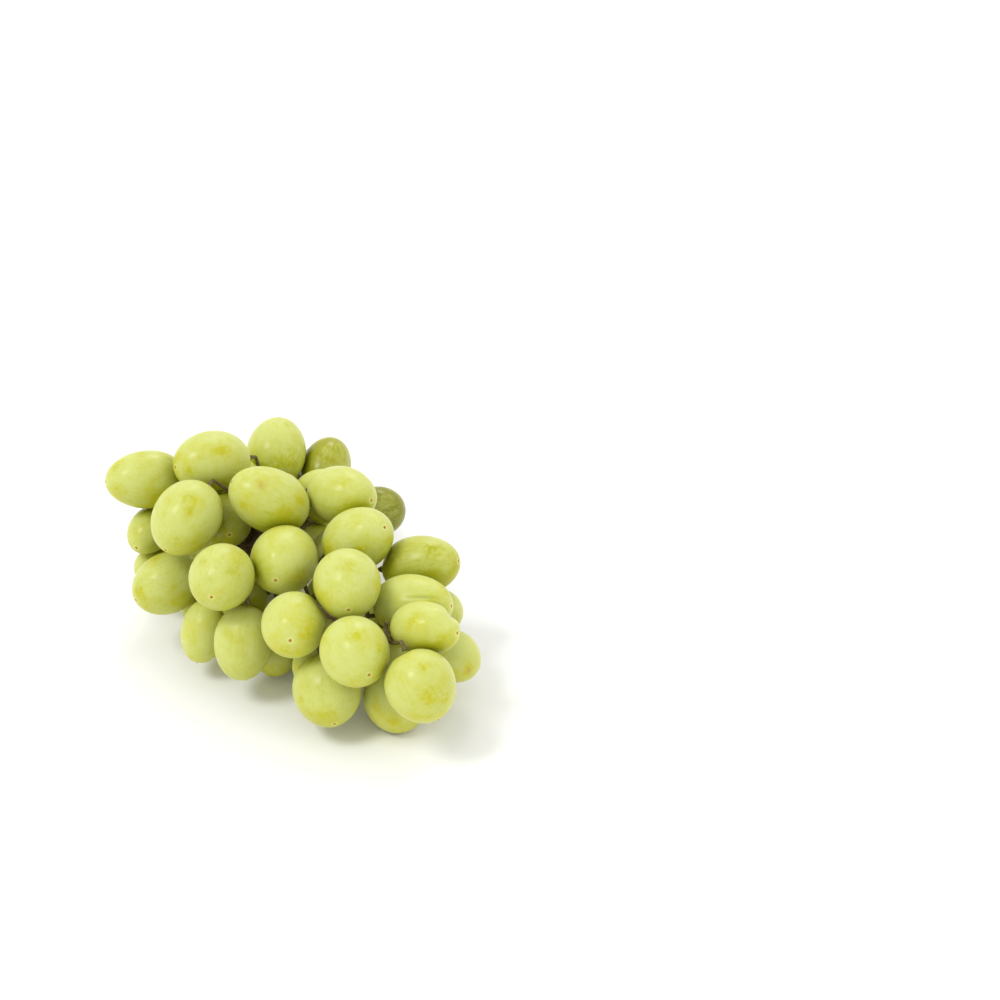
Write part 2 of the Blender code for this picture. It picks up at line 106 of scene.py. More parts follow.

# Colours that go with the skin's and the bark's own
PALE_FRECKLE = (0.66, 0.66, 0.24)
DARK_PORE = (0.34, 0.37, 0.04)
TIP_RING = (0.76, 0.74, 0.26)
CORK = (0.46, 0.29, 0.05)
GROOVE = (0.05, 0.03, 0.014)
CORKY_WART = (0.34, 0.24, 0.12)
WORN_BARK = (0.36, 0.28, 0.15)
PITH = (0.28, 0.19, 0.09)

# The stem's bark
MERGE = 1e-6           # corners closer than this, in metres, are one
SMOOTHING = (0.5, 7)   # strength and rounds of the smoothing of the stem's joins
AXIS_REACH = 4.5       # corners within this of each other lie on one length of stem
GRAIN_STRETCH = 0.12   # the grain's closeness along the stem, as a part of that across it
RIDGES = (1.1, 0.24)   # length of the waves in the bark, and their share of the relief
WARTS = (1.6, 0.72)    # the same for warts
LUMPS = (6.0, 0.28)    # and for broad lumps
WART_WAVES = 40        # waves that are added up for the warts
WART_START = 1.0       # only the tops of the waves above this are warts
WART_TOP = 1.5         # and no wart is higher than this
GREEN_REACH = 9.0      # the pedicels' green is gone a little further than this from a berry
CUT_DEPTH = 0.8        # how deep the cut end's pale wood shows

# The stage: places in metres
KEY_PLACE = (-1.3, -1.0, 2.5)
FILL_PLACE = (1.8, -1.2, 1.6)
BACK_PLACE = (0.4, 2.3, 2.2)
CAMERA_PLACE = (0.07585, -0.55691, 0.38394)
CAMERA_TILT = 60       # degrees from straight down
SENSOR = 36.0          # millimetres
FLOOR_SIDES = 96

# Where the bloom is thin on a berry: bearing and pitch of the place as seen from the
# berry's centre, in degrees, and its radius in millimetres.
BARE = {
    "berry_01": [(225, 10, 1.4), (205, 40, 2.2), (305, 30, 2.5), (305, -10, 4.0), (195, 85, 2.2)],
    "berry_02": [(305, 45, 3.6), (240, 10, 2.2), (210, 25, 1.8), (135, 70, 2.2)],
    "berry_03": [(295, 60, 3.6), (285, 40, 1.8), (265, -10, 2.2), (10, 15, 2.2)],
    "berry_05": [(280, -10, 3.6)],
    "berry_06": [(150, 70, 2.9), (230, 15, 2.2)],
    "berry_08": [(310, 15, 5.0), (255, 5, 1.4), (280, 15, 2.9), (15, 70, 1.8)],
    "berry_09": [(120, 65, 4.3)],
    "berry_10": [(300, 0, 2.9), (235, 15, 1.8), (340, 10, 2.2)],
    "berry_12": [(145, 50, 4.3)],
    "berry_14": [(200, 0, 4.3), (275, 15, 2.5), (330, -30, 2.9)],
    "berry_15": [(215, 70, 2.2), (300, 5, 2.5)],
    "berry_16": [(355, 55, 3.6), (215, 55, 1.8), (310, 40, 2.9)],
    "berry_17": [(290, 65, 2.9), (345, 0, 3.2)],
    "berry_18": [(305, 20, 4.3), (260, -10, 2.2)],
    "berry_21": [(330, 0, 2.9), (305, 55, 3.2)],
    "berry_22": [(215, -10, 2.9), (355, 30, 2.5)],
    "berry_23": [(240, 50, 3.2), (300, 10, 1.4)],
    "berry_24": [(285, 20, 4.3), (285, 65, 1.8), (315, 5, 2.2)],
    "berry_25": [(280, 65, 2.5), (325, 25, 1.8)],
    "berry_27": [(225, 10, 1.8), (155, 60, 2.9)],
    "berry_28": [(235, 15, 1.8), (270, -5, 2.2)],
    "berry_29": [(305, -5, 2.2)],
}

# Where the sun or a rub has left russet, given the same way.
RUSSET = {
    "berry_10": [(260, 55, 1.5)],
    "berry_25": [(325, -10, 0.5), (310, -15, 0.4), (305, -15, 0.4)],
    "berry_29": [(305, -5, 1.2)],
    "berry_35": [(200, 20, 0.8)],
    "berry_41": [(90, 50, 1.1)],
}

# Dents: bearing and pitch of the place, depth, length and width in millimetres, and the
# turn of the length away from level, in degrees.
DENTS = {
    "berry_22": [(298, 44, 0.7, 4.2, 0.55, -20)],
    "berry_23": [(6, 30, 1.3, 6.0, 2.3, -20)],
}

# How much darker and greener a berry is than the others, from 0 to 1: partly its own greener tone,
# and partly painted shade on berry_05, berry_09 and berry_12, which lie in shade.
GREENER_AND_SHADED = {"berry_05": 0.32, "berry_09": 0.5, "berry_12": 0.8, "berry_21": 0.28, "berry_32": 0.4}

# How much riper and yellower a berry is than the others, from 0 to 1.
RIPER = {"berry_24": 0.8, "berry_27": 0.4, "berry_28": 0.6, "berry_29": 0.9, "berry_02": 0.35}


class BerrySettings(bpy.types.PropertyGroup):
    """The sizes and colours of the berries."""

    flesh: FloatVectorProperty(
        name="Flesh", description="Colour of bare skin, with the flesh behind it",
        subtype="COLOR", size=3, min=0, max=1, default=(0.48, 0.50, 0.022))
    # Painted shade: the dark olive that berries in shade and skin near contacts are darkened towards;
    # it is also the greenest skin's own colour
    shaded: FloatVectorProperty(
        name="Shaded side", description="Colour of the greenest skin",
        subtype="COLOR", size=3, min=0, max=1, default=(0.15, 0.155, 0.003))
    golden: FloatVectorProperty(
        name="Sunny side", description="Colour of the ripest skin",
        subtype="COLOR", size=3, min=0, max=1, default=(0.54, 0.51, 0.022))
    bloom: FloatVectorProperty(
        name="Bloom", description="Colour of skin under full bloom",
        subtype="COLOR", size=3, min=0, max=1, default=(0.56, 0.60, 0.20))
    russet: FloatVectorProperty(
        name="Russet", description="Colour of scars, specks and corky skin",
        subtype="COLOR", size=3, min=0, max=1, default=(0.30, 0.12, 0.02))
    rings: IntProperty(
        name="Rings", description="Rings of a berry from its tip to its stalk",
        default=56, min=16, max=200)
    sides: IntProperty(
        name="Sides", description="Points round a berry",
        default=72, min=16, max=240)
    scar: FloatProperty(
        name="Scar", description="Radius of the flower's scar at the tip",
        subtype="DISTANCE", unit="LENGTH", default=0.00055, min=0.0001, max=0.003)
    softness: FloatProperty(
        name="Softness", description="How gently a flat runs out into the round skin",
        subtype="DISTANCE", unit="LENGTH", default=0.0004, min=0.00005, max=0.002)


class StemSettings(bpy.types.PropertyGroup):
    """The sizes and colours of the stem."""

    bark: FloatVectorProperty(
        name="Bark", description="Colour of the rachis and the stalk",
        subtype="COLOR", size=3, min=0, max=1, default=(0.13, 0.075, 0.03))
    green: FloatVectorProperty(
        name="Pedicels", description="Colour of the stalks of the berries",
        subtype="COLOR", size=3, min=0, max=1, default=(0.17, 0.155, 0.04))
    cut: FloatVectorProperty(
        name="Cut wood", description="Colour of the stalk's cut end",
        subtype="COLOR", size=3, min=0, max=1, default=(0.46, 0.36, 0.18))
    fineness: FloatProperty(
        name="Fineness", description="Side of the stem's faces",
        subtype="DISTANCE", unit="LENGTH", default=0.00042, min=0.0003, max=0.002)
    warts: FloatProperty(
        name="Warts", description="Height of the stem's warts and ridges",
        subtype="DISTANCE", unit="LENGTH", default=0.00022, min=0, max=0.001)


class StageSettings(bpy.types.PropertyGroup):
    """The floor, the light and the camera."""

    floor: FloatVectorProperty(
        name="Floor", description="Colour of the floor",
        subtype="COLOR", size=3, min=0, max=1, default=(0.90, 0.90, 0.90))
    radius: FloatProperty(
        name="Floor radius", description="How far the floor reaches",
        subtype="DISTANCE", unit="LENGTH", default=12.0, min=1, max=100)
    sky: FloatProperty(
        name="Surroundings", description="Strength of the light from all round",
        default=0.95, min=0, max=5)
    key: FloatProperty(
        name="Key light", description="Strength of the main soft light",
        default=1.25, min=0, max=20)
    fill: FloatProperty(
        name="Fill light", description="Strength of the soft light on the other side",
        default=0.3, min=0, max=20)
    back: FloatProperty(
        name="Back light", description="Strength of the soft light from behind",
        default=0.45, min=0, max=20)
    spread: FloatProperty(
        name="Softness", description="How wide each soft light looks from the bunch",
        subtype="ANGLE", unit="ROTATION", default=math.radians(18), min=0, max=math.pi)
    lens: FloatProperty(
        name="Lens", description="The camera's focal length in millimetres",
        default=65.0, min=10, max=300)


# Shader nodes


class Amount:
    """A number somewhere in a material. Sums, products and the like of it add the Math
    nodes that work them out."""

    def __init__(self, finish, socket):
        self.finish = finish
        self.socket = socket

    def math(self, operation, *others, clamp=False):
        settings = {"operation": operation, "use_clamp": clamp}
        return self.finish.add("ShaderNodeMath", settings, dict(enumerate((self, *others))))

    def __add__(self, other):
        return self.math("ADD", other)

    def __radd__(self, other):
        return self.math("ADD", other)

    def __mul__(self, other):
        return self.math("MULTIPLY", other)

    def __rmul__(self, other):
        return self.math("MULTIPLY", other)

    def __sub__(self, other):
        return self.math("SUBTRACT", other)

    def __rsub__(self, other):
        return self.finish.number(other).math("SUBTRACT", self)

    def kept(self):
        """This number, kept between 0 and 1."""
        return self.math("ADD", 0.0, clamp=True)

    def ramp(self, start, end):
        """0 where this number is at start, 1 where it is at end, and smooth between."""
        settings = {"interpolation_type": "SMOOTHSTEP"}
        values = {"Value": self, "From Min": start, "From Max": end}
        if start > end:
            values = {"Value": self, "From Min": end, "From Max": start, "To Min": 1.0, "To Max": 0.0}
        return self.finish.add("ShaderNodeMapRange", settings, values)


class Finish:
    """A material and the nodes that give it its colour, gloss and grain."""

    def __init__(self, name):
        self.material = bpy.data.materials.new(name)
        self.material.use_nodes = True
        self.tree = self.material.node_tree
        self.tree.nodes.clear()

    def add(self, kind, settings=None, values=None, output=0):
        """Adds a node: its settings first, then the value or link of each socket."""
        node = self.tree.nodes.new(kind)
        for name, value in (settings or {}).items():
            setattr(node, name, value)
        for name, value in (values or {}).items():
            socket = node.inputs[name]
            if isinstance(value, Amount):
                self.tree.links.new(value.socket, socket)
            else:
                socket.default_value = value
        return Amount(self, node.outputs[output] if node.outputs else None)

    def number(self, value):
        """A plain number as the first value of a sum."""
        return self.add("ShaderNodeMath", {"operation": "ADD"}, {0: value, 1: 0.0})

    def read(self, name, output=2):
        """An attribute of the mesh: output 2 is a number and output 1 a vector."""
        return self.add("ShaderNodeAttribute", {"attribute_name": name}, output=output)

    def scaled(self, vector, scale):
        """A vector with each of its parts scaled."""
        return self.add("ShaderNodeVectorMath", {"operation": "MULTIPLY"}, {0: vector, 1: scale})

    def cloud(self, place, scale, detail=2.0, roughness=0.5):
        """A noise texture, about 0 to 1."""
        values = {"Vector": place, "Scale": scale, "Detail": detail, "Roughness": roughness}
        return self.add("ShaderNodeTexNoise", {"noise_dimensions": "3D"}, values)

    def cells(self, place, scale):
        """The distance to the nearest of many scattered points."""
        values = {"Vector": place, "Scale": scale}
        return self.add("ShaderNodeTexVoronoi", {"feature": "F1"}, values)

    def mix(self, factor, first, second):
        """A colour between first, where factor is 0, and second, where it is 1."""
        ends = {}
        for index, colour in ((6, first), (7, second)):
            ends[index] = colour if isinstance(colour, Amount) else (*colour, 1.0)
        return self.add("ShaderNodeMix", {"data_type": "RGBA"}, {0: factor, **ends}, output=2)

    def bump(self, height, distance, strength=1.0):
        """A normal tilted by a height, which counts in units of distance."""
        values = {"Height": height, "Distance": distance, "Strength": strength}
        return self.add("ShaderNodeBump", None, values)

    def surface(self, values):
        """Ends the material with a Principled shader that has these values."""
        shader = self.add("ShaderNodeBsdfPrincipled", None, values)
        self.add("ShaderNodeOutputMaterial", None, {"Surface": shader})
        return self.material


def berry_finish(settings):
    """Thin waxy skin over translucent flesh. The bloom is a pale layer that is thin in clouds, along
    faint lines from stalk to tip, where neighbours rub and at the bare places, and it is thinned on
    the underside as painted shade. Near contacts the skin is darkened as painted shade, and berries
    that lie in shade are painted darker and greener. The scar, specks and the ring round the stalk
    are russet."""
    finish = Finish("berry_skin")
    place = finish.read("own_place", output=1)
    tip, stalk = finish.read("from_tip"), finish.read("from_stalk")
    rub_and_contact_shade, bare, russet = finish.read("rub_and_contact_shade"), finish.read("bare"), finish.read("russet")
    underside_shade = finish.read("underside_shade")
    greener_and_shaded, riper = finish.read("greener_and_shaded"), finish.read("riper")

    # Patterns: the numbers are their closeness per millimetre, detail and roughness
    broad = finish.cloud(place, 0.11, 1.0)
    patchy = finish.cloud(place, 0.30, 3.0, 0.55)
    scuffed = finish.cloud(place, 0.75, 4.0, 0.62)
    fine = finish.cloud(place, 1.7, 3.0, 0.6)
    lines = finish.cloud(finish.scaled(place, (1.0, 1.0, 0.12)), 0.95, 2.0)
    freckle = finish.cells(place, 0.62).ramp(0.22, 0.06)
    pore = finish.cells(place, 1.45).ramp(0.30, 0.12)

    # Each cause of wear with its share, the bloom thinned on the underside as painted shade, and the
    # bloom that is left
    worn_and_underside_shade = rub_and_contact_shade * 0.9 + bare * (0.28 + scuffed.ramp(0.36, 0.60) * 0.62)
    worn_and_underside_shade = worn_and_underside_shade + patchy.ramp(0.42, 0.74) * 0.30
    worn_and_underside_shade = worn_and_underside_shade + broad.ramp(0.40, 0.72) * 0.38 + lines.ramp(0.46, 0.72) * 0.22 + underside_shade * 0.65
    # Less bloom where worn, and less as painted shade on the underside and on berries that lie in
    # shade
    bloom_after_wear_and_shade = (1.14 - worn_and_underside_shade - greener_and_shaded + (fine - 0.5) * 0.36).kept()

    # Skin from flesh to golden, then greener and darker with painted shade near contacts and on
    # berries that lie in shade, then under its bloom
    ripe = (broad.ramp(0.38, 0.66) * 0.45 + riper * 0.55 + bare * 0.25 - rub_and_contact_shade * 0.4).kept()
    skin = finish.mix(ripe, settings.flesh, settings.golden)
    blotched = bare * patchy.ramp(0.50, 0.66) * (0.14 - riper * 0.14)
    # Painted shade: skin near contacts and berries that lie in shade are darkened towards the shaded
    # colour; the bare blotches are the skin's own
    deep_colour_and_painted_shade = (greener_and_shaded + rub_and_contact_shade * rub_and_contact_shade * 0.45 + blotched).kept()
    skin = finish.mix(deep_colour_and_painted_shade, skin, settings.shaded)
    colour = finish.mix((bloom_after_wear_and_shade * 0.86).kept(), skin, settings.bloom)
    colour = finish.mix(freckle * 0.22, colour, PALE_FRECKLE)
    colour = finish.mix(pore * 0.08, colour, DARK_PORE)

    # The pale ring and the scar at the tip, and cork round the stalk and on russet places
    colour = finish.mix(tip.ramp(1.9, 0.9) * 0.35, colour, TIP_RING)
    corky = (stalk.ramp(3.4, 1.2) * fine.ramp(0.42, 0.62) * 0.6 + russet * (0.35 + fine)).kept()
    colour = finish.mix(corky * 0.7, colour, CORK)
    radius = settings.scar / MM
    scar = (tip + (fine - 0.5) * 0.35).ramp(radius * 1.35, radius * 0.75)
    colour = finish.mix(scar * 0.92, colour, settings.russet)

    gloss = (0.29 + bloom_after_wear_and_shade * 0.15 + scar * 0.3 + corky * 0.15 - (fine - 0.5) * 0.10).kept()
    height = fine * 0.35 + patchy * 0.4 - pore * 0.25 + freckle * 0.2 + lines * 0.3
    normal = finish.bump(height, 0.00006, 0.75)
    return finish.surface({
        "Base Color": colour, "Roughness": gloss, "Normal": normal,
        "IOR": 1.40, "Specular IOR Level": 0.24,
        "Subsurface Weight": 0.85, "Subsurface Radius": (1.0, 0.92, 0.20),
        "Subsurface Scale": 0.0036, "Coat Weight": 0.16, "Coat Roughness": 0.17,
        "Sheen Weight": 0.06, "Sheen Roughness": 0.22, "Sheen Tint": (0.95, 1.0, 0.85, 1.0),
    })


def stem_finish(settings):
    """Dull bark, brown on the rachis and greener on the pedicels, darker in its grooves,
    with paler corky warts and a pale cut end."""
    finish = Finish("stem_bark")
    place = finish.read("grain_place", output=1)
    green, cut, raised = finish.read("green"), finish.read("cut"), finish.read("raised")
    broad = finish.cloud(place, 0.35, 3.0)
    streaks = finish.cloud(place, 2.4, 4.0, 0.65)
    fine = finish.cloud(place, 6.0, 2.0)
    wart = finish.cells(place, 0.9).ramp(0.30, 0.16)

    colour = finish.mix((green * 0.8 + broad * 0.5 - 0.25).kept(), settings.bark, settings.green)
    colour = finish.mix(streaks.ramp(0.58, 0.40) * 0.7, colour, GROOVE)
    colour = finish.mix(wart * 0.6, colour, CORKY_WART)
    colour = finish.mix(raised.ramp(0.2, 1.0) * 0.35, colour, WORN_BARK)
    wood = finish.mix(fine.ramp(0.35, 0.62), settings.cut, PITH)
    colour = finish.mix(cut, colour, wood)
    gloss = (0.78 - green * 0.2 + (streaks - 0.5) * 0.2).kept()
    normal = finish.bump(streaks + wart * 0.8 + fine * 0.4, 0.00015)
    return finish.surface({
        "Base Color": colour, "Roughness": gloss, "Normal": normal, "Specular IOR Level": 0.35,
    })


def floor_finish(settings):
    """Plain pale matt floor."""
    finish = Finish("pale_floor")
    place = finish.add("ShaderNodeTexCoord", output=3)
    gloss = 0.75 + (finish.cloud(place, 30.0) - 0.5) * 0.1
    return finish.surface({
        "Base Color": (*settings.floor, 1.0), "Roughness": gloss, "Specular IOR Level": 0.15,
    })


# Shapes


def direction(bearing, pitch):
    """The unit vector of a bearing in the XY plane and a pitch above it, in degrees."""
    b, p = math.radians(bearing), math.radians(pitch)
    return np.array([math.cos(b) * math.cos(p), math.sin(b) * math.cos(p), math.sin(p)])


def unit(vectors):
    """Each vector over its own length."""
    return vectors / np.linalg.norm(vectors, axis=-1, keepdims=True)


def kept_under(value, limit, softness):
    """The lower of value and limit, with a round corner between them:
    limit - s ln(1 + e^((limit - value)/s))."""
    return limit - softness * np.logaddexp(0, (limit - value) / softness)


def waves(points, length, seed, count=24):
    """A smooth random field, mostly between -1.5 and 1.5: the sum of seeded plane waves,
    each the cosine of the place along its own direction over a length near the one given,
    over the square root of their count."""
    chance = np.random.default_rng(seed)
    way = unit(chance.normal(size=(count, 3)))
    stretch = 2 * math.pi / (length * chance.uniform(0.7, 1.5, count))
    phase = chance.uniform(0, 2 * math.pi, count)
    return np.cos(points @ (way * stretch[:, None]).T + phase).sum(1) / math.sqrt(count)


def corners_of(node):
    """The corners of a CAD node's mesh in millimetres, each of them once."""
    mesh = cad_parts[node].data
    flat = np.empty(3 * len(mesh.vertices), np.float32)
    mesh.vertices.foreach_get("co", flat)
    return np.unique(np.round(flat.reshape(-1, 3).astype(float) / MM, 3), axis=0)


def fitted_oval(points, stem):
    """The oval that a berry's corners lie on, as its centre, tip direction, radius and
    half length. The corners fit x'Fx + 2g'x = 1 by least squares, so the centre is
    -F^-1 g, and the half axes come from F's own directions. The stalk's end of the
    longest axis is the end with the stem's corners closest to it."""
    middle = points.mean(0)
    x, y, z = (points - middle).T
    terms = np.stack([x * x, y * y, z * z, 2 * x * y, 2 * x * z, 2 * y * z, 2 * x, 2 * y, 2 * z], 1)
    fit = np.linalg.lstsq(terms, np.ones(len(points)), rcond=None)[0]
    form = np.array([[fit[0], fit[3], fit[4]], [fit[3], fit[1], fit[5]], [fit[4], fit[5], fit[2]]])
    offset = -np.linalg.solve(form, fit[6:])
    curved, axes = np.linalg.eigh(form / (1 + offset @ form @ offset))
    half, *across = 1 / np.sqrt(curved)
    centre, tip = middle + offset, axes[:, 0]

    def stem_gap(way):
        """How far the stem is from the end of the oval that is opposite to way."""
        apart = np.linalg.norm(stem - (centre - way * half), axis=1)
        return np.sort(apart)[:END_CORNERS].mean()

    if stem_gap(-tip) < stem_gap(tip):
        tip = -tip
    radius = float(np.mean(across)) / FACET
    return centre + tip * radius * (FACET - 1), tip, radius, half


def measured_berries():
    """Every berry's centre, tip direction, radius and half length, in BERRIES' order."""
    stem = corners_of("stem")
    found = [fitted_oval(corners_of(node), stem) for node in BERRIES]
    centre, tip, radius, half = (np.array(part) for part in zip(*found))
    return {"centre": centre, "tip": tip, "radius": radius, "half": half}


def reach(berries, which, way):
    """How far a berry reaches along a unit vector: half its surface's distance from
    the centre there, and half its furthest extent that way."""
    along = abs(float(way @ berries["tip"][which]))
    radius, half = berries["radius"][which], berries["half"][which]
    surface = 1 / math.sqrt((along / half) ** 2 + (1 - along**2) / radius**2)
    extent = math.sqrt((along * half) ** 2 + (1 - along**2) * radius**2)
    return (surface + extent) / 2


def flats(berries, number):
    """The flats on a berry: the way each one faces, its distance from the centre and its
    softness. Two neighbours share the plane midway between their skins, and the lowest
    berries have one on the surface below."""
    centre = berries["centre"]
    made = [(np.array([0, 0, -1.0]), centre[number][2], FLOOR_SOFTNESS)]
    soft = bpy.context.scene.berry_settings.softness / MM
    for other in range(len(centre)):
        apart = centre[other] - centre[number]
        distance = np.linalg.norm(apart)
        if other == number or distance > NEIGHBOUR:
            continue
        way = apart / distance
        mine, theirs = reach(berries, number, way), reach(berries, other, way)
        gap = distance - mine - theirs
        if gap < PRESS_FROM:
            made.append((way, mine + gap / 2 - TOUCH_GAP / 2, soft))
    return made


def spots(way, places, size):
    """How much of a spot each direction from the centre is in: the sum over the places of
    e^-(angle size/radius)^2, where size is the berry's own and radius is the place's."""
    total = np.zeros(len(way))
    for bearing, pitch, radius in places:
        angle = np.arccos(np.clip(way @ direction(bearing, pitch), -1, 1))
        total += np.exp(-((angle * size / radius) ** 2))
    return np.clip(total, 0, 1)


def dented(points, centre, outward, dents):
    """Pushes the skin in at each dent, by depth e^-((u/length)^2 + (v/width)^2), where u and
    v are the distances from the dent's middle along and across it."""
    for bearing, pitch, depth, length, width, turn in dents:
        way = direction(bearing, pitch)
        level = unit(np.cross((0, 0, 1), way))
        rise = np.cross(way, level)
        along = level * math.cos(math.radians(turn)) + rise * math.sin(math.radians(turn))
        across = np.cross(way, along)
        apart = points - centre
        near = apart @ way > 0
        u, v = apart @ along, apart @ across
        push = depth * near * np.exp(-((u / length) ** 2) - (v / width) ** 2)
        points = points - outward * push[:, None]
    return points


def skin_distances(radius, half, angle):
    """How far along the skin a point at an angle from the tip is from the tip and from the
    stalk: the sum of sqrt((H sin a)^2 + (R cos a)^2) over the angles a between them."""
    fine = np.linspace(0, math.pi, ARC_STEPS)
    arc = np.sqrt((half * np.sin(fine)) ** 2 + (radius * np.cos(fine)) ** 2)
    arc = np.concatenate([[0], np.cumsum((arc[1:] + arc[:-1]) / 2 * np.diff(fine))])
    from_tip = np.interp(angle, fine, arc)
    return from_tip, arc[-1] - from_tip


def dimple(distance, size):
    """A round hollow or nub: height e^-(distance/radius)^2, with height and radius in size."""
    return size[0] * np.exp(-((distance / size[1]) ** 2))


def skin_marks(number, way, own, size):
    """What chance and the tables give to one berry's skin, at directions way from its centre: its
    place in the patterns, its bare and russet places, how ripe it is, and how green it is, which for
    berries that lie in shade is partly painted shade. The size is the berry's, to turn a place's
    radius into an angle."""
    node = BERRIES[number]
    chance = np.random.default_rng(SKIN_SEED + number)
    own = own + chance.uniform(-PATTERN_SHIFT, PATTERN_SHIFT, 3)
    bare = BARE.get(node)
    if not bare:
        low, high = (0, -WORN_PITCH), (360, WORN_PITCH)
        bare = [(*chance.uniform(low, high), r) for r in chance.uniform(*WORN_SIZE, WORN_PLACES)]
    everywhere = np.ones(len(way))
    return {
        "own_place": own,
        "bare": spots(way, bare, size),
        "russet": spots(way, RUSSET.get(node, []), size),
        # Partly painted shade: berries that lie in shade are made darker and greener
        "greener_and_shaded": everywhere * max(GREENER_AND_SHADED.get(node, 0), chance.uniform(0, MOST_GREEN)),
        "riper": everywhere * max(RIPER.get(node, 0), chance.uniform(0, MOST_RIPE)),
    }


def berry_surface(berries, number, rings, sides):
    """A berry as points and what its skin needs to know at each of them.

    The point at angle a from the tip and b round the axis is
    centre + tip H cos a + out(b) R sin a (1 - FULLNESS cos a), moved along the normal by a
    low random field, by the pit and nub of the scar and by the pit round the stalk, then
    pressed flat where something touches it, and kept inside the solid model's box. The
    first point is the tip and the last is the stalk end, and between them are rings, from
    the tip on."""
    centre, tip = berries["centre"][number], berries["tip"][number]
    radius, half = berries["radius"][number], berries["half"][number]
    step = np.linspace(0, 1, rings + 2)
    down = math.pi * (step - POLE_DENSITY * np.sin(2 * math.pi * step) / (2 * math.pi))
    turn = 2 * math.pi * np.arange(sides) / sides
    a = np.concatenate([[0.0], np.repeat(down[1:-1], sides), [math.pi]])
    b = np.concatenate([[0.0], np.tile(turn, rings), [0.0]])
    side = unit(np.cross(tip, AXIS_START))
    other = np.cross(tip, side)
    out = np.cos(b)[:, None] * side + np.sin(b)[:, None] * other
    along = half * np.cos(a)
    across = radius * np.sin(a) * (1 - FULLNESS * np.cos(a))
    points = centre + along[:, None] * tip + across[:, None] * out
    outward = unit((np.cos(a) / half)[:, None] * tip + (np.sin(a) / radius)[:, None] * out)

    own = np.stack([across * np.cos(b), across * np.sin(b), along], 1)
    from_tip, from_stalk = skin_distances(radius, half, a)
    lift = UNEVEN * radius * waves(unit(own), UNEVEN_LENGTH, SHAPE_SEED + number)
    lift -= dimple(from_tip, TIP_PIT) + dimple(from_stalk, STALK_PIT)
    nub = NUB[1] * bpy.context.scene.berry_settings.scar / MM
    lift += NUB[0] * np.exp(-((from_tip / nub) ** 4))
    points = points + outward * lift[:, None]
    points = dented(points, centre, outward, DENTS.get(BERRIES[number], []))

    # Near each flat the bloom is rubbed off, and the same mask paints shade where berries touch each
    # other and the surface below
    rub_and_contact_shade = np.zeros(len(points))
    for way, limit, soft in flats(berries, number):
        height = (points - centre) @ way
        rub_and_contact_shade = np.maximum(rub_and_contact_shade, np.exp(-np.maximum(limit - height, 0) / RUB_AND_SHADE_REACH))
        points = points + way * (kept_under(height, limit, soft) - height)[:, None]
    points = kept_under(points, np.array(CAD_HIGH) / MM, BOX_SOFTNESS)
    points = -kept_under(-points, -np.array(CAD_LOW) / MM, BOX_SOFTNESS)

    return points, {
        "from_tip": from_tip,
        "from_stalk": from_stalk,
        "rub_and_contact_shade": rub_and_contact_shade,
        # Painted shade: the underside's bloom is thinned, so it shows darker and greener
        "underside_shade": np.clip((SHADED_UNDERSIDE - outward[:, 2]) / (1 + SHADED_UNDERSIDE), 0, 1),
        **skin_marks(number, unit(points - centre), own, (radius + half) / 2),
    }


def ball_faces(rings, sides):
    """The faces between the points of berry_surface: a fan at each end and four-sided
    faces between the rings, all facing outwards."""
    here = 1 + np.arange(rings * sides).reshape(rings, sides)
    after = np.roll(here, -1, axis=1)
    quads = np.stack([here[:-1], here[1:], after[1:], after[:-1]], -1).reshape(-1, 4)
    tip = np.zeros(sides, int)
    end = np.full(sides, 1 + rings * sides)
    first = np.stack([tip, here[0], after[0]], -1)
    last = np.stack([here[-1], end, after[-1]], -1)
    return [*first.tolist(), *quads.tolist(), *last.tolist()]


def new_piece(name, points, faces, facts, finish):
    """A piece from points in millimetres, with its facts as attributes of the points."""
    mesh = bpy.data.meshes.new(name)
    mesh.from_pydata((points * MM).tolist(), [], faces)
    return finished_piece(name, mesh, facts, finish)


def finished_piece(name, mesh, facts, finish):
    """Puts a mesh in the scene as a piece, with its facts and its material."""
    for fact, values in facts.items():
        kind, field = ("FLOAT_VECTOR", "vector") if values.ndim == 2 else ("FLOAT", "value")
        attribute = mesh.attributes.new(fact, kind, "POINT")
        attribute.data.foreach_set(field, values.astype(np.float32).ravel())
    mesh.materials.clear()
    mesh.materials.append(finish)
    mesh.polygons.foreach_set("use_smooth", np.ones(len(mesh.polygons), bool))
    mesh.update()
    piece = bpy.data.objects.new(name, mesh)
    bpy.context.scene.collection.objects.link(piece)
    return piece


def remeshed_stem(fineness):
    """The stem's solid as one even skin with soft edges: its copy is merged, divided into
    equal faces and smoothed."""
    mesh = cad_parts["stem"].data.copy()
    work = bmesh.new()
    work.from_mesh(mesh)
    bmesh.ops.remove_doubles(work, verts=work.verts, dist=MERGE)
    bmesh.ops.recalc_face_normals(work, faces=work.faces)
    work.to_mesh(mesh)
    work.free()
    rough = bpy.data.objects.new("rough_stem", mesh)
    bpy.context.scene.collection.objects.link(rough)
    even = rough.modifiers.new("even", "REMESH")
    even.mode = "VOXEL"
    even.voxel_size = fineness
    soft = rough.modifiers.new("soft", "SMOOTH")
    soft.factor, soft.iterations = SMOOTHING
    bpy.context.view_layer.update()
    finished = rough.evaluated_get(bpy.context.evaluated_depsgraph_get())
    made = bpy.data.meshes.new_from_object(finished)
    bpy.data.objects.remove(rough)
    return made


def points_and_normals(mesh):
    """A mesh's points in millimetres, and its normals."""
    flat = np.empty(3 * len(mesh.vertices), np.float32)
    mesh.vertices.foreach_get("co", flat)
    normal = np.empty(3 * len(mesh.vertices), np.float32)
    mesh.vertex_normals.foreach_get("vector", normal)
    return flat.reshape(-1, 3).astype(float) / MM, normal.reshape(-1, 3).astype(float)


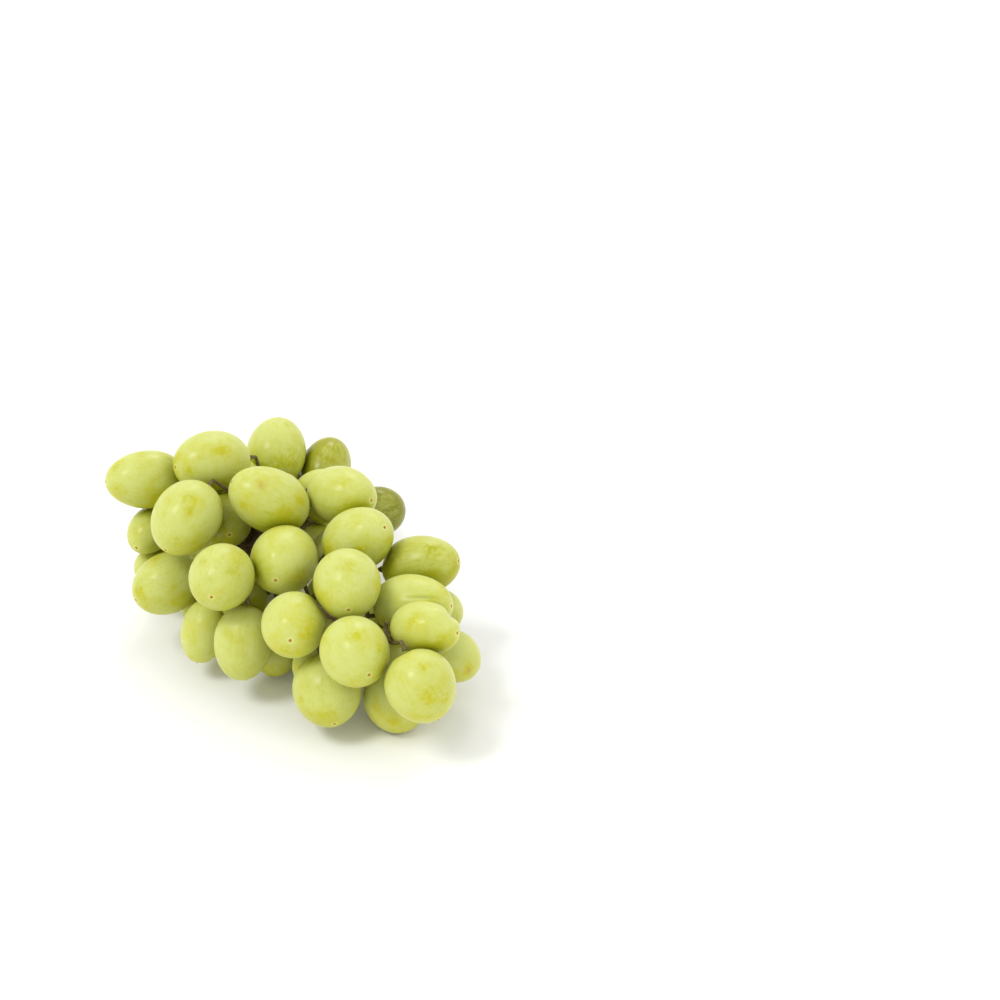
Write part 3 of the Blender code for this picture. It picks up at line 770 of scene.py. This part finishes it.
def stem_axes(points):
    """The stem's own middle and direction near each of its corners: the mean of the
    corners within AXIS_REACH of it, and the direction that they spread in most."""
    apart = np.linalg.norm(points[:, None] - points[None], axis=2)
    near = (apart < AXIS_REACH).astype(float)
    count = near.sum(1)[:, None]
    middle = near @ points / count
    square = near @ (points[:, :, None] * points[:, None, :]).reshape(-1, 9) / count
    spread = square.reshape(-1, 3, 3) - middle[:, :, None] * middle[:, None, :]
    return middle, np.linalg.eigh(spread)[1][:, :, 2]


def nearest(points, targets, chunk=2000):
    """For each point the number of the target nearest to it, and its distance."""
    index, gap = [], []
    for start in range(0, len(points), chunk):
        part = points[start : start + chunk]
        apart = np.linalg.norm(part[:, None] - targets[None], axis=2)
        index.append(apart.argmin(1))
        gap.append(apart.min(1))
    return np.concatenate(index), np.concatenate(gap)


# Operators


class GRAPES_OT_berries(bpy.types.Operator):
    """Makes every berry: an oval that is fuller at its stalk, with its scar, its pit, its
    flats and its dents"""

    bl_idname = "grapes.berries"
    bl_label = "Berries"

    def execute(self, context):
        settings = context.scene.berry_settings
        finish = berry_finish(settings)
        berries = measured_berries()
        for number, node in enumerate(BERRIES):
            finer = 2 if node in DENTS else 1
            rings, sides = settings.rings * finer, settings.sides * finer
            points, facts = berry_surface(berries, number, rings, sides)
            piece = new_piece(node + "_skin", points, ball_faces(rings, sides), facts, finish)
            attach(piece, "root")
            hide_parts(node)
        return {"FINISHED"}


class GRAPES_OT_stem(bpy.types.Operator):
    """Makes the stem: the branching solid with soft joins, ridges along it and warts"""

    bl_idname = "grapes.stem"
    bl_label = "Stem"

    def execute(self, context):
        settings = context.scene.stem_settings
        mesh = remeshed_stem(settings.fineness)
        points, normal = points_and_normals(mesh)
        corners = corners_of("stem")
        middle, along = stem_axes(corners)
        index, _ = nearest(points, corners)

        # The bark's grain runs along the stem, so its pattern is drawn out that way
        offset = points - middle[index]
        down = (offset * along[index]).sum(1)
        round_it = offset - down[:, None] * along[index]
        grain = round_it + points * GRAIN_STRETCH
        ridges = waves(grain, RIDGES[0], seed=7)
        warts = waves(points, WARTS[0], seed=8, count=WART_WAVES)
        warts = np.clip(warts - WART_START, 0, WART_TOP)
        lumps = waves(points, LUMPS[0], seed=9)
        relief = ridges * RIDGES[1] + warts * WARTS[1] + lumps * LUMPS[1]
        points = points + normal * (relief * settings.warts / MM)[:, None]
        mesh.vertices.foreach_set("co", (points * MM).astype(np.float32).ravel())

        berries = measured_berries()
        ends = berries["centre"] - berries["tip"] * berries["half"][:, None]
        gap = nearest(points, ends)[1]
        back = corners[:, 1].max() - points[:, 1]
        facts = {
            "grain_place": grain,
            "green": np.clip(1.2 - gap / GREEN_REACH, 0, 1),
            "cut": np.clip(1.4 - back / CUT_DEPTH, 0, 1),
            "raised": np.clip(warts + ridges * 0.3, 0, 1),
        }
        piece = finished_piece("stem_wood", mesh, facts, stem_finish(settings))
        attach(piece, "root")
        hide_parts("stem")
        return {"FINISHED"}


class GRAPES_OT_stage(bpy.types.Operator):
    """Makes the pale floor, the soft lights and the camera"""

    bl_idname = "grapes.stage"
    bl_label = "Stage"

    def execute(self, context):
        settings = context.scene.stage_settings
        turn = np.linspace(0, 2 * math.pi, FLOOR_SIDES, endpoint=False)
        rim = settings.radius / MM * np.stack([np.cos(turn), np.sin(turn), 0 * turn], 1)
        floor = new_piece("floor", rim, [list(range(len(rim)))], {}, floor_finish(settings))
        floor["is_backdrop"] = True

        world = bpy.data.worlds.new("surroundings")
        world.use_nodes = True
        background = world.node_tree.nodes["Background"]
        background.inputs["Color"].default_value = (1.0, 1.0, 1.0, 1.0)
        background.inputs["Strength"].default_value = settings.sky
        context.scene.world = world
        add_light("key", KEY_PLACE, settings.key, settings.spread)
        add_light("fill", FILL_PLACE, settings.fill, settings.spread)
        add_light("back", BACK_PLACE, settings.back, settings.spread)

        eye = bpy.data.cameras.new("camera")
        eye.lens = settings.lens
        eye.sensor_width = SENSOR
        camera = bpy.data.objects.new("camera", eye)
        camera.location = CAMERA_PLACE
        camera.rotation_euler = (math.radians(CAMERA_TILT), 0, 0)
        context.scene.collection.objects.link(camera)
        context.scene.camera = camera
        context.scene.view_settings.view_transform = "Standard"
        return {"FINISHED"}


def add_light(name, place, strength, spread):
    """A far soft light that shines from a place towards the bunch."""
    lamp = bpy.data.lights.new(name, "SUN")
    lamp.angle = spread
    lamp.energy = strength
    light = bpy.data.objects.new(name, lamp)
    light.location = place
    light.rotation_euler = Vector(place).to_track_quat("Z", "Y").to_euler()
    bpy.context.scene.collection.objects.link(light)


class GRAPES_PT_bunch(bpy.types.Panel):
    """Lists the settings and the operators."""

    bl_idname = "GRAPES_PT_bunch"
    bl_label = "Bunch of grapes"
    bl_space_type = "VIEW_3D"
    bl_region_type = "UI"
    bl_category = "Grapes"

    def draw(self, context):
        for group, operator in (
            ("berry_settings", "grapes.berries"),
            ("stem_settings", "grapes.stem"),
            ("stage_settings", "grapes.stage"),
        ):
            box = self.layout.box()
            settings = getattr(context.scene, group)
            for name in settings.__annotations__:
                box.prop(settings, name)
            box.operator(operator)


SETTINGS = {
    "berry_settings": BerrySettings,
    "stem_settings": StemSettings,
    "stage_settings": StageSettings,
}
OPERATORS = (GRAPES_OT_berries, GRAPES_OT_stem, GRAPES_OT_stage)


def register():
    for made in (*SETTINGS.values(), *OPERATORS, GRAPES_PT_bunch):
        bpy.utils.register_class(made)
    for name, group in SETTINGS.items():
        setattr(bpy.types.Scene, name, PointerProperty(type=group))


def unregister():
    for name in SETTINGS:
        delattr(bpy.types.Scene, name)
    for made in reversed((*SETTINGS.values(), *OPERATORS, GRAPES_PT_bunch)):
        bpy.utils.unregister_class(made)


def main():
    register()
    bpy.ops.grapes.stage()
    bpy.ops.grapes.berries()
    bpy.ops.grapes.stem()


if __name__ == "__main__":
    main()
